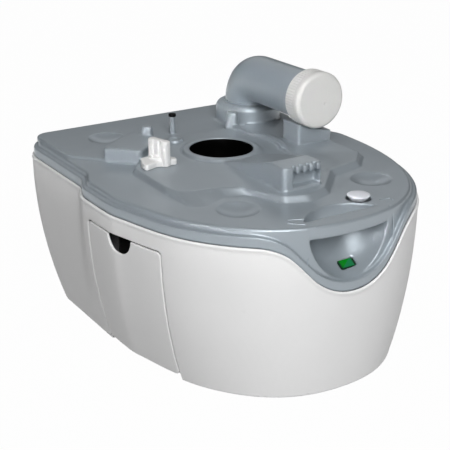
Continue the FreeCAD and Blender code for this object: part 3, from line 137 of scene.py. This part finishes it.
FLOAT_PLASTIC = moulded_plastic("float_plastic", (0.60, 0.60, 0.57), 0.5)
RUBBER = moulded_plastic(
    "seal_rubber", (0.001, 0.001, 0.001), 0.30, grain=0.08, mottle=0.15, mirror=0.05
)
FLAG_GREEN = moulded_plastic("flag_green", (0.02, 0.25, 0.04), 0.45)


# Level window: green with painted light and shade. A painted shadow edge from corner to corner splits it
# into a lit half and a shaded half, and painted shade darkens its edge

WINDOW_BASE = (0.01, 0.20, 0.03)
# The two halves: one painted as lit, the other as in painted shadow
LEFT_GREEN = (0.0, 0.20, 0.006, 1.0)
RIGHT_GREEN = (0.010, 0.185, 0.060, 1.0)
# Painted shade darkening the window's edge
EDGE_SHADE_GREEN = (0.006, 0.045, 0.016, 1.0)
# Where the painted shade of the edge begins, as a share of the window's width from its middle
EDGE_SHADE_START = 0.41


def painted_light_window():
    material = moulded_plastic("window_green", WINDOW_BASE, 0.15)
    tree_nodes = material.node_tree.nodes
    links = material.node_tree.links

    def math_node(operation, first, second):
        node = tree_nodes.new("ShaderNodeMath")
        node.operation = operation
        for socket, value in zip(node.inputs, (first, second)):
            if isinstance(value, float):
                socket.default_value = value
            else:
                links.new(value, socket)
        return node.outputs["Value"]

    def mixed(factor, one, other):
        mix = tree_nodes.new("ShaderNodeMix")
        mix.data_type = "RGBA"
        links.new(factor, mix.inputs["Factor"])
        mix.inputs["B"].default_value = other
        if isinstance(one, tuple):
            mix.inputs["A"].default_value = one
        else:
            links.new(one, mix.inputs["A"])
        return mix.outputs["Result"]

    place = tree_nodes.new("ShaderNodeTexCoord")
    parts = tree_nodes.new("ShaderNodeSeparateXYZ")
    links.new(place.outputs["Generated"], parts.inputs["Vector"])
    # Painted shadow edge from corner to corner
    past_shadow_edge = math_node("GREATER_THAN", parts.outputs["X"], parts.outputs["Y"])
    from_middle = [
        math_node("ABSOLUTE", math_node("SUBTRACT", parts.outputs[axis], 0.5), 0.0)
        for axis in ("X", "Y")
    ]
    # Painted shade along the window's edge
    in_edge_shade = math_node("GREATER_THAN", math_node("MAXIMUM", *from_middle), EDGE_SHADE_START)
    lit_and_shaded_halves = mixed(past_shadow_edge, LEFT_GREEN, RIGHT_GREEN)
    with_edge_shade = mixed(in_edge_shade, lit_and_shaded_halves, EDGE_SHADE_GREEN)
    links.new(with_edge_shade, tree_nodes["Principled BSDF"].inputs["Base Color"])
    return material


WINDOW_PAINTED_LIGHT = painted_light_window()


# Steel of the pins, the screws and the spring

STEEL_COLOR = (0.55, 0.55, 0.57)
STEEL_SCALE = 700.0
STEEL_SMOOTHEST = 0.22
STEEL_ROUGHEST = 0.42


def plain_steel():
    material, tree_nodes, links, shader = new_material("steel", STEEL_COLOR, STEEL_SMOOTHEST)
    shader.inputs["Metallic"].default_value = 1.0
    uneven_gloss(tree_nodes, links, shader, STEEL_SCALE, STEEL_SMOOTHEST, STEEL_ROUGHEST)
    return material


STEEL = plain_steel()

NODE_MATERIALS = {
    "outer_casing": CASING_WHITE,
    "paper_door": CASING_WHITE,
    "tank_deck": DECK_GREY,
    "tank_tub": TUB_PLASTIC,
    "paper_compartment": STORE_PAINTED_SHADE,
    "valve_knob": KNOB_WHITE,
    "valve_spindle": BLACK_PLASTIC,
    "valve_blade": BLACK_PLASTIC,
    "valve_carrier": BLACK_PLASTIC,
    "valve_lip_seal": RUBBER,
    "spindle_seal": RUBBER,
    "spout_elbow": SPOUT_GREY,
    "spout_retainer": BLACK_PLASTIC,
    "spout_seal": SPOUT_GREY,
    "spout_cap": CAP_WHITE,
    "cap_liner": RUBBER,
    "vent_button": BUTTON_WHITE,
    "vent_stem": BLACK_PLASTIC,
    "vent_disc": RUBBER,
    "vent_housing": BLACK_PLASTIC,
    "vent_spring": STEEL,
    "level_window": WINDOW_PAINTED_LIGHT,
    "indicator_flag": FLAG_GREEN,
    "float_arm": FLOAT_PLASTIC,
    "float_ball": FLOAT_PLASTIC,
    "float_bracket": FLOAT_PLASTIC,
    "float_pin": STEEL,
    "post_tip": BLACK_PLASTIC,
    "door_pin_front": STEEL,
    "door_pin_rear": STEEL,
    "valve_screw_1": STEEL,
    "valve_screw_2": STEEL,
    "valve_screw_3": STEEL,
    "valve_screw_4": STEEL,
}
for name, material in NODE_MATERIALS.items():
    mesh = nodes[name].data
    mesh.materials.clear()
    mesh.materials.append(material)


# Moulded pieces: the CAD solids with every edge blended, as in a plastic moulding

BLEND_FACTOR = 0.5


def link_piece(name, mesh, material, body):
    piece = bpy.data.objects.new(name, mesh)
    scene.collection.objects.link(piece)
    mesh.materials.clear()
    mesh.materials.append(material)
    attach(piece, body)
    return piece


def apply_modifiers(piece):
    """Replace a piece's mesh by the result of its modifiers."""
    depsgraph = bpy.context.evaluated_depsgraph_get()
    result = bpy.data.meshes.new_from_object(piece.evaluated_get(depsgraph))
    piece.modifiers.clear()
    piece.data = result
    result.shade_smooth()


def add_filler(mesh, filler):
    """Put another closed mesh into this one, for the even mesh to take both as one."""
    shape = bmesh.new()
    shape.from_mesh(mesh)
    shape.from_mesh(filler)
    shape.to_mesh(mesh)
    shape.free()


def moulded(node, name, body, voxel, rounds, triangles, filler=None):
    """A copy of a CAD node with its sharp edges blended over a few voxels."""
    piece = link_piece(name, nodes[node].data.copy(), NODE_MATERIALS[node], body)
    if filler:
        add_filler(piece.data, filler)
    remesh = piece.modifiers.new("even_mesh", "REMESH")
    remesh.mode = "VOXEL"
    remesh.voxel_size = voxel
    blend = piece.modifiers.new("soft_edges", "SMOOTH")
    blend.factor = BLEND_FACTOR
    blend.iterations = rounds
    apply_modifiers(piece)
    squares = len(piece.data.polygons)
    thin = piece.modifiers.new("fewer_faces", "DECIMATE")
    thin.ratio = min(1.0, triangles / (2 * squares))
    apply_modifiers(piece)
    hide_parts(node)


def turned_mesh(name, profile, turns, closed, reshape=None):
    """Mesh of (radius, height) points turned round Z.

    Reshape may change a point's radius with the angle.
    """
    shape = bmesh.new()
    rings = []
    for step in range(turns):
        angle = 2 * math.pi * step / turns
        ring = []
        for radius, height in profile:
            if reshape:
                radius = reshape(radius, height, angle)
            ring.append(shape.verts.new((radius * math.cos(angle), radius * math.sin(angle), height)))
        rings.append(ring)
    spans = len(profile) if closed else len(profile) - 1
    for step in range(turns):
        here = rings[step]
        there = rings[(step + 1) % turns]
        for low in range(spans):
            high = (low + 1) % len(profile)
            shape.faces.new((here[low], there[low], there[high], here[high]))
    bmesh.ops.remove_doubles(shape, verts=shape.verts, dist=1e-7)
    bmesh.ops.recalc_face_normals(shape, faces=shape.faces)
    mesh = bpy.data.meshes.new(name)
    shape.to_mesh(mesh)
    shape.free()
    mesh.shade_smooth()
    return mesh


def arc(center, radius, start, stop, steps):
    """Points of an arc in a (radius, height) profile, angles in degrees."""
    points = []
    for step in range(steps + 1):
        angle = math.radians(start + (stop - start) * step / steps)
        points.append((center[0] + radius * math.cos(angle), center[1] + radius * math.sin(angle)))
    return points


ABOVE_THE_PART = 0.4


def deck_top(x, y):
    """The highest point of the deck at a place seen from above."""
    start = Vector((x, y, ABOVE_THE_PART))
    _, place, _, _ = nodes["tank_deck"].ray_cast(start, Vector((0, 0, -1)))
    return place


# Screw cap: finely ribbed skirt, wide smooth bevel, flat face with the mark of the moulding gate

CAP_RIBS = 64
RIB_STEPS = 6
RIB_DEPTH = 0.0004
RIB_START = 0.0003
RIBBED_SHARE = 0.56
SKIRT_RINGS = (0.3, 0.6, 0.9, 0.97)
SKIRT_LIP = 0.0008
GROOVE_DEPTH = 0.0004
GROOVE_RISE = 0.0003
SHOULDER_DEPTH = 0.0001
SHOULDER_RISE = 0.0009
CAP_BEVEL = 0.0048
CAP_WALL = 0.0026
FACE_RINGS = 60
FACE_BAND = 0.0001
GATE_OFFSET = Vector((0.0065, -0.0045))
GATE_DEPTH = 0.0010
GATE_WIDTH = 0.0017


def cap_piece():
    low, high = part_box("spout_cap")
    depth = high.y - low.y
    radius = (high.z - low.z) / 2
    ribbed = depth * RIBBED_SHARE

    def ribs(point_radius, height, angle):
        on_skirt = point_radius > radius - RIB_DEPTH / 2 and RIB_START < height < ribbed
        if not on_skirt:
            return point_radius
        return point_radius - RIB_DEPTH * (0.5 + 0.5 * math.cos(CAP_RIBS * angle))

    bore = radius - CAP_WALL
    face_edge = radius - CAP_BEVEL
    profile = [(0.0, depth - CAP_WALL), (bore, depth - CAP_WALL), (bore, 0.0)]
    profile += arc((radius - SKIRT_LIP, SKIRT_LIP), SKIRT_LIP, start=-90, stop=0, steps=3)
    profile += [(radius, ribbed * share) for share in SKIRT_RINGS]
    profile += [(radius - GROOVE_DEPTH, ribbed + GROOVE_RISE)]
    profile += [(radius - SHOULDER_DEPTH, ribbed + SHOULDER_RISE)]
    profile += arc((face_edge, depth - CAP_BEVEL), CAP_BEVEL, start=0, stop=90, steps=9)
    profile += [(face_edge * (1 - ring / FACE_RINGS), depth) for ring in range(1, FACE_RINGS + 1)]
    mesh = turned_mesh("cap_moulding", profile, CAP_RIBS * RIB_STEPS, False, ribs)
    for vertex in mesh.vertices:
        if vertex.co.z > depth - FACE_BAND:
            away = (vertex.co.xy - GATE_OFFSET).length
            vertex.co.z -= GATE_DEPTH * math.exp(-((away / GATE_WIDTH) ** 2))
    place = Vector(((low.x + high.x) / 2, high.y, (low.z + high.z) / 2))
    mesh.transform(Matrix.Translation(place) @ Matrix.Rotation(math.pi / 2, 4, "X"))
    piece = link_piece("cap_moulding", mesh, CAP_WHITE, "cap")
    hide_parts("spout_cap")


# Vent button: a thin lens-shaped disc on a tapered foot

BUTTON_EDGE = 0.0011
BUTTON_EDGE_DROP = 1.6 * BUTTON_EDGE
BUTTON_FOOT_SHARE = 0.74
BUTTON_FOOT_BEVEL = 0.0004
BUTTON_DOME = 0.0004
BUTTON_RINGS = (0.7, 0.5, 0.3, 0.1)
BUTTON_TURNS = 72


def button_piece():
    low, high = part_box("vent_button")
    radius = (high.x - low.x) / 2
    height = high.z - low.z
    foot = radius * BUTTON_FOOT_SHARE
    edge_middle = (radius - BUTTON_EDGE, height - BUTTON_EDGE_DROP)
    profile = [(0.0, 0.0), (foot, 0.0), (foot + BUTTON_FOOT_BEVEL, BUTTON_FOOT_BEVEL)]
    profile += arc(edge_middle, BUTTON_EDGE, start=-40, stop=80, steps=8)
    profile += [(radius * share, height - BUTTON_DOME * share ** 2) for share in BUTTON_RINGS]
    profile += [(0.0, height)]
    mesh = turned_mesh("button_moulding", profile, BUTTON_TURNS, False)
    mesh.transform(Matrix.Translation(((low.x + high.x) / 2, (low.y + high.y) / 2, low.z)))
    piece = link_piece("button_moulding", mesh, BUTTON_WHITE, "vent")
    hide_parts("vent_button")


# Rubber seal of the waste opening with a thin sleeve standing up inside the neck

SLEEVE_OUTER = 0.0382
SLEEVE_WALL = 0.0006
SLEEVE_BELOW_LIP = 0.0015
SLEEVE_RINGS = (0.7, 0.4, 0.1)
SLEEVE_TURNS = 120
LIP_REACH = 0.0015


def opening_sleeve():
    low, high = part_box("valve_lip_seal")
    middle = (low + high) / 2
    seal_radius = (high.x - low.x) / 2
    seal_height = high.z - low.z
    lip = deck_top(middle.x + SLEEVE_OUTER + LIP_REACH, middle.y)
    top = lip.z - SLEEVE_BELOW_LIP - low.z
    inner = SLEEVE_OUTER - SLEEVE_WALL
    half_wall = SLEEVE_WALL / 2
    profile = [(inner, 0.0), (seal_radius, 0.0), (seal_radius, seal_height)]
    profile += [(SLEEVE_OUTER, seal_height), (SLEEVE_OUTER, top)]
    profile += arc((SLEEVE_OUTER - half_wall, top), half_wall, start=0, stop=180, steps=4)
    profile += [(inner, top * share) for share in SLEEVE_RINGS]
    mesh = turned_mesh("opening_sleeve", profile, SLEEVE_TURNS, True)
    mesh.transform(Matrix.Translation((middle.x, middle.y, low.z)))
    piece = link_piece("opening_sleeve", mesh, RUBBER, "tank")
    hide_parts("valve_lip_seal")


# Vent spring: its own copy of the CAD spring, fixed to the tank


def spring_piece():
    piece = link_piece("spring_coil", nodes["vent_spring"].data.copy(), STEEL, "tank")
    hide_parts("vent_spring")
    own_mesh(piece)


# Seams of the carrying bar: thin raised lines on the deck, two at each of its ends, drawn from above

SEAM_RADIUS = 0.0008
BAR_SEAMS = [
    [(-0.0583, -0.1898), (-0.0520, -0.1915), (-0.0480, -0.1935), (-0.0431, -0.1967)],
    [(-0.0638, -0.1971), (-0.0541, -0.2068), (-0.0480, -0.2105), (-0.0530, -0.2190)],
    [(0.0595, -0.1928), (0.0691, -0.1925), (0.0735, -0.1965), (0.0715, -0.2003)],
    [(0.0552, -0.2123), (0.0605, -0.2145), (0.0591, -0.2185), (0.0551, -0.2220)],
]


def bar_seam(number, points):
    curve = bpy.data.curves.new(f"bar_seam_{number}", "CURVE")
    curve.dimensions = "3D"
    curve.bevel_depth = SEAM_RADIUS
    curve.bevel_resolution = 3
    curve.use_fill_caps = True
    line = curve.splines.new("NURBS")
    line.points.add(len(points) - 1)
    line.use_endpoint_u = True
    line.order_u = 3
    for point, (x, y) in zip(line.points, points):
        point.co = (*deck_top(x, y), 1.0)
    path = bpy.data.objects.new(curve.name, curve)
    scene.collection.objects.link(path)
    depsgraph = bpy.context.evaluated_depsgraph_get()
    mesh = bpy.data.meshes.new_from_object(path.evaluated_get(depsgraph))
    bpy.data.objects.remove(path)
    mesh.shade_smooth()
    link_piece(f"bar_seam_{number}", mesh, DECK_GREY, "tank")


# Floor of the groove in the knob's grip, over the end of the spindle

KNOB_FLOOR_OVERLAP = 0.0012
KNOB_FLOOR_TURNS = 24


def knob_floor():
    low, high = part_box("valve_spindle")
    radius = (high.x - low.x) / 2 + KNOB_FLOOR_OVERLAP
    profile = [(0.0, -KNOB_FLOOR_OVERLAP), (radius, -KNOB_FLOOR_OVERLAP)]
    profile += [(radius, KNOB_FLOOR_OVERLAP), (0.0, KNOB_FLOOR_OVERLAP)]
    mesh = turned_mesh("knob_floor", profile, KNOB_FLOOR_TURNS, False)
    mesh.transform(Matrix.Translation(((low.x + high.x) / 2, (low.y + high.y) / 2, high.z)))
    return mesh


cap_piece()
button_piece()
spring_piece()
opening_sleeve()
for number, points in enumerate(BAR_SEAMS, 1):
    bar_seam(number, points)

moulded(
    "valve_knob", "knob_grip", "valve",
    voxel=0.0005, rounds=12, triangles=40000, filler=knob_floor(),
)
moulded(
    "tank_deck", "deck_moulding", "tank",
    voxel=0.0010, rounds=11, triangles=190000,
)
moulded(
    "outer_casing", "casing_moulding", "tank",
    voxel=0.0011, rounds=5, triangles=150000,
)
moulded(
    "paper_door", "door_panel", "door",
    voxel=0.0006, rounds=6, triangles=60000,
)


# Camera at the photograph's viewpoint, fitted to the outline of the object

VIEW_AZIMUTH = math.radians(-32.126)
VIEW_ELEVATION = math.radians(21.596)
VIEW_DISTANCE = 1.3187
VIEW_TARGET = Vector((0.0, 0.0286, 0.1088))
FOCAL_LENGTH = 85.44
FRAME_SHIFT_X = 0.0061
FRAME_SHIFT_Y = -0.0017


def direction(azimuth, elevation):
    """Unit vector from the object towards a place round it; azimuth 0 is in front."""
    level = math.cos(elevation)
    return Vector((math.sin(azimuth) * level, -math.cos(azimuth) * level, math.sin(elevation)))


def add_camera():
    camera = bpy.data.objects.new("camera", bpy.data.cameras.new("camera"))
    scene.collection.objects.link(camera)
    back = direction(VIEW_AZIMUTH, VIEW_ELEVATION)
    camera.location = VIEW_TARGET + back * VIEW_DISTANCE
    camera.rotation_mode = "QUATERNION"
    camera.rotation_quaternion = (-back).to_track_quat("-Z", "Y")
    camera.data.lens = FOCAL_LENGTH
    camera.data.shift_x = FRAME_SHIFT_X
    camera.data.shift_y = FRAME_SHIFT_Y
    scene.camera = camera


add_camera()


# Studio: soft boxes round the object, a pale floor and a white surround


def add_softbox(name, azimuth, elevation, distance, width, height, power, lift=0.0, spread=180):
    """A soft box aimed at the object, or as far above it as its lift.

    A small spread stands for a grid that narrows the beam.
    """
    lamp = bpy.data.lights.new(name, "AREA")
    lamp.shape = "RECTANGLE"
    lamp.size = width
    lamp.size_y = height
    lamp.energy = power
    lamp.spread = math.radians(spread)
    box = bpy.data.objects.new(name, lamp)
    scene.collection.objects.link(box)
    back = direction(math.radians(azimuth), math.radians(elevation))
    box.location = VIEW_TARGET + back * distance + Vector((0, 0, lift))
    box.rotation_mode = "QUATERNION"
    box.rotation_quaternion = (-back).to_track_quat("-Z", "Y")


add_softbox("key", azimuth=-24, elevation=36, distance=3.0, width=1.5, height=1.5, power=80)
add_softbox("low_front", azimuth=-40, elevation=8, distance=3.0, width=1.2, height=0.5, power=6)
add_softbox(
    "left", azimuth=-80, elevation=10, distance=2.6, width=0.7, height=0.12, power=0.18,
    lift=0.15, spread=5,
)
add_softbox("top_front", azimuth=-30, elevation=72, distance=2.2, width=1.2, height=0.7, power=8)
add_softbox("behind", azimuth=148, elevation=34, distance=1.2, width=1.2, height=0.35, power=1.2)

WHITE = (1.0, 1.0, 1.0, 1.0)
# The surround itself gives no light; the soft boxes give all of it
SURROUND_LIGHT = 0.0
SURROUND_WHITE_SHARE = 1.0
FLOOR_HALF = 6.0
FLOOR_DROP = 0.0002
FLOOR_COLOR = (0.30, 0.30, 0.30)
FLOOR_ROUGHNESS = 0.8
# The small rest is the floor's own shading, which carries the object's shadow
FLOOR_WHITE_SHARE = 0.985


def white_to_eye(tree, dim_socket, white_socket, share, other_ray):
    """Mix a dim shader with a white one for camera rays and one other kind of ray."""
    path = tree.nodes.new("ShaderNodeLightPath")
    any_ray = tree.nodes.new("ShaderNodeMath")
    any_ray.operation = "MAXIMUM"
    tree.links.new(path.outputs["Is Camera Ray"], any_ray.inputs[0])
    tree.links.new(path.outputs[other_ray], any_ray.inputs[1])
    factor = tree.nodes.new("ShaderNodeMath")
    factor.operation = "MULTIPLY"
    factor.inputs[1].default_value = share
    tree.links.new(any_ray.outputs["Value"], factor.inputs[0])
    mix = tree.nodes.new("ShaderNodeMixShader")
    tree.links.new(factor.outputs["Value"], mix.inputs["Fac"])
    tree.links.new(dim_socket, mix.inputs[1])
    tree.links.new(white_socket, mix.inputs[2])
    return mix.outputs["Shader"]


def light_world():
    world = bpy.data.worlds.new("surround")
    scene.world = world
    world.use_nodes = True
    tree = world.node_tree
    dim = tree.nodes["Background"]
    dim.inputs["Color"].default_value = WHITE
    dim.inputs["Strength"].default_value = SURROUND_LIGHT
    white = tree.nodes.new("ShaderNodeBackground")
    white.inputs["Color"].default_value = WHITE
    white.inputs["Strength"].default_value = 1.0
    dim_socket = dim.outputs["Background"]
    white_socket = white.outputs["Background"]
    mixed = white_to_eye(tree, dim_socket, white_socket, SURROUND_WHITE_SHARE, "Is Transmission Ray")
    tree.links.new(mixed, tree.nodes["World Output"].inputs["Surface"])


def add_floor():
    mesh = bpy.data.meshes.new("floor")
    half = FLOOR_HALF
    corners = [(-half, -half, 0), (half, -half, 0), (half, half, 0), (-half, half, 0)]
    mesh.from_pydata(corners, [], [(0, 1, 2, 3)])
    floor = bpy.data.objects.new("floor", mesh)
    scene.collection.objects.link(floor)
    floor.location.z = -FLOOR_DROP
    material, tree_nodes, links, shader = new_material("floor_white", FLOOR_COLOR, FLOOR_ROUGHNESS)
    glow = tree_nodes.new("ShaderNodeEmission")
    glow.inputs["Strength"].default_value = 1.0
    dim_socket = shader.outputs["BSDF"]
    white_socket = glow.outputs["Emission"]
    mixed = white_to_eye(material.node_tree, dim_socket, white_socket, FLOOR_WHITE_SHARE, "Is Glossy Ray")
    links.new(mixed, tree_nodes["Material Output"].inputs["Surface"])
    mesh.materials.append(material)


light_world()
add_floor()
scene.view_settings.view_transform = "Standard"
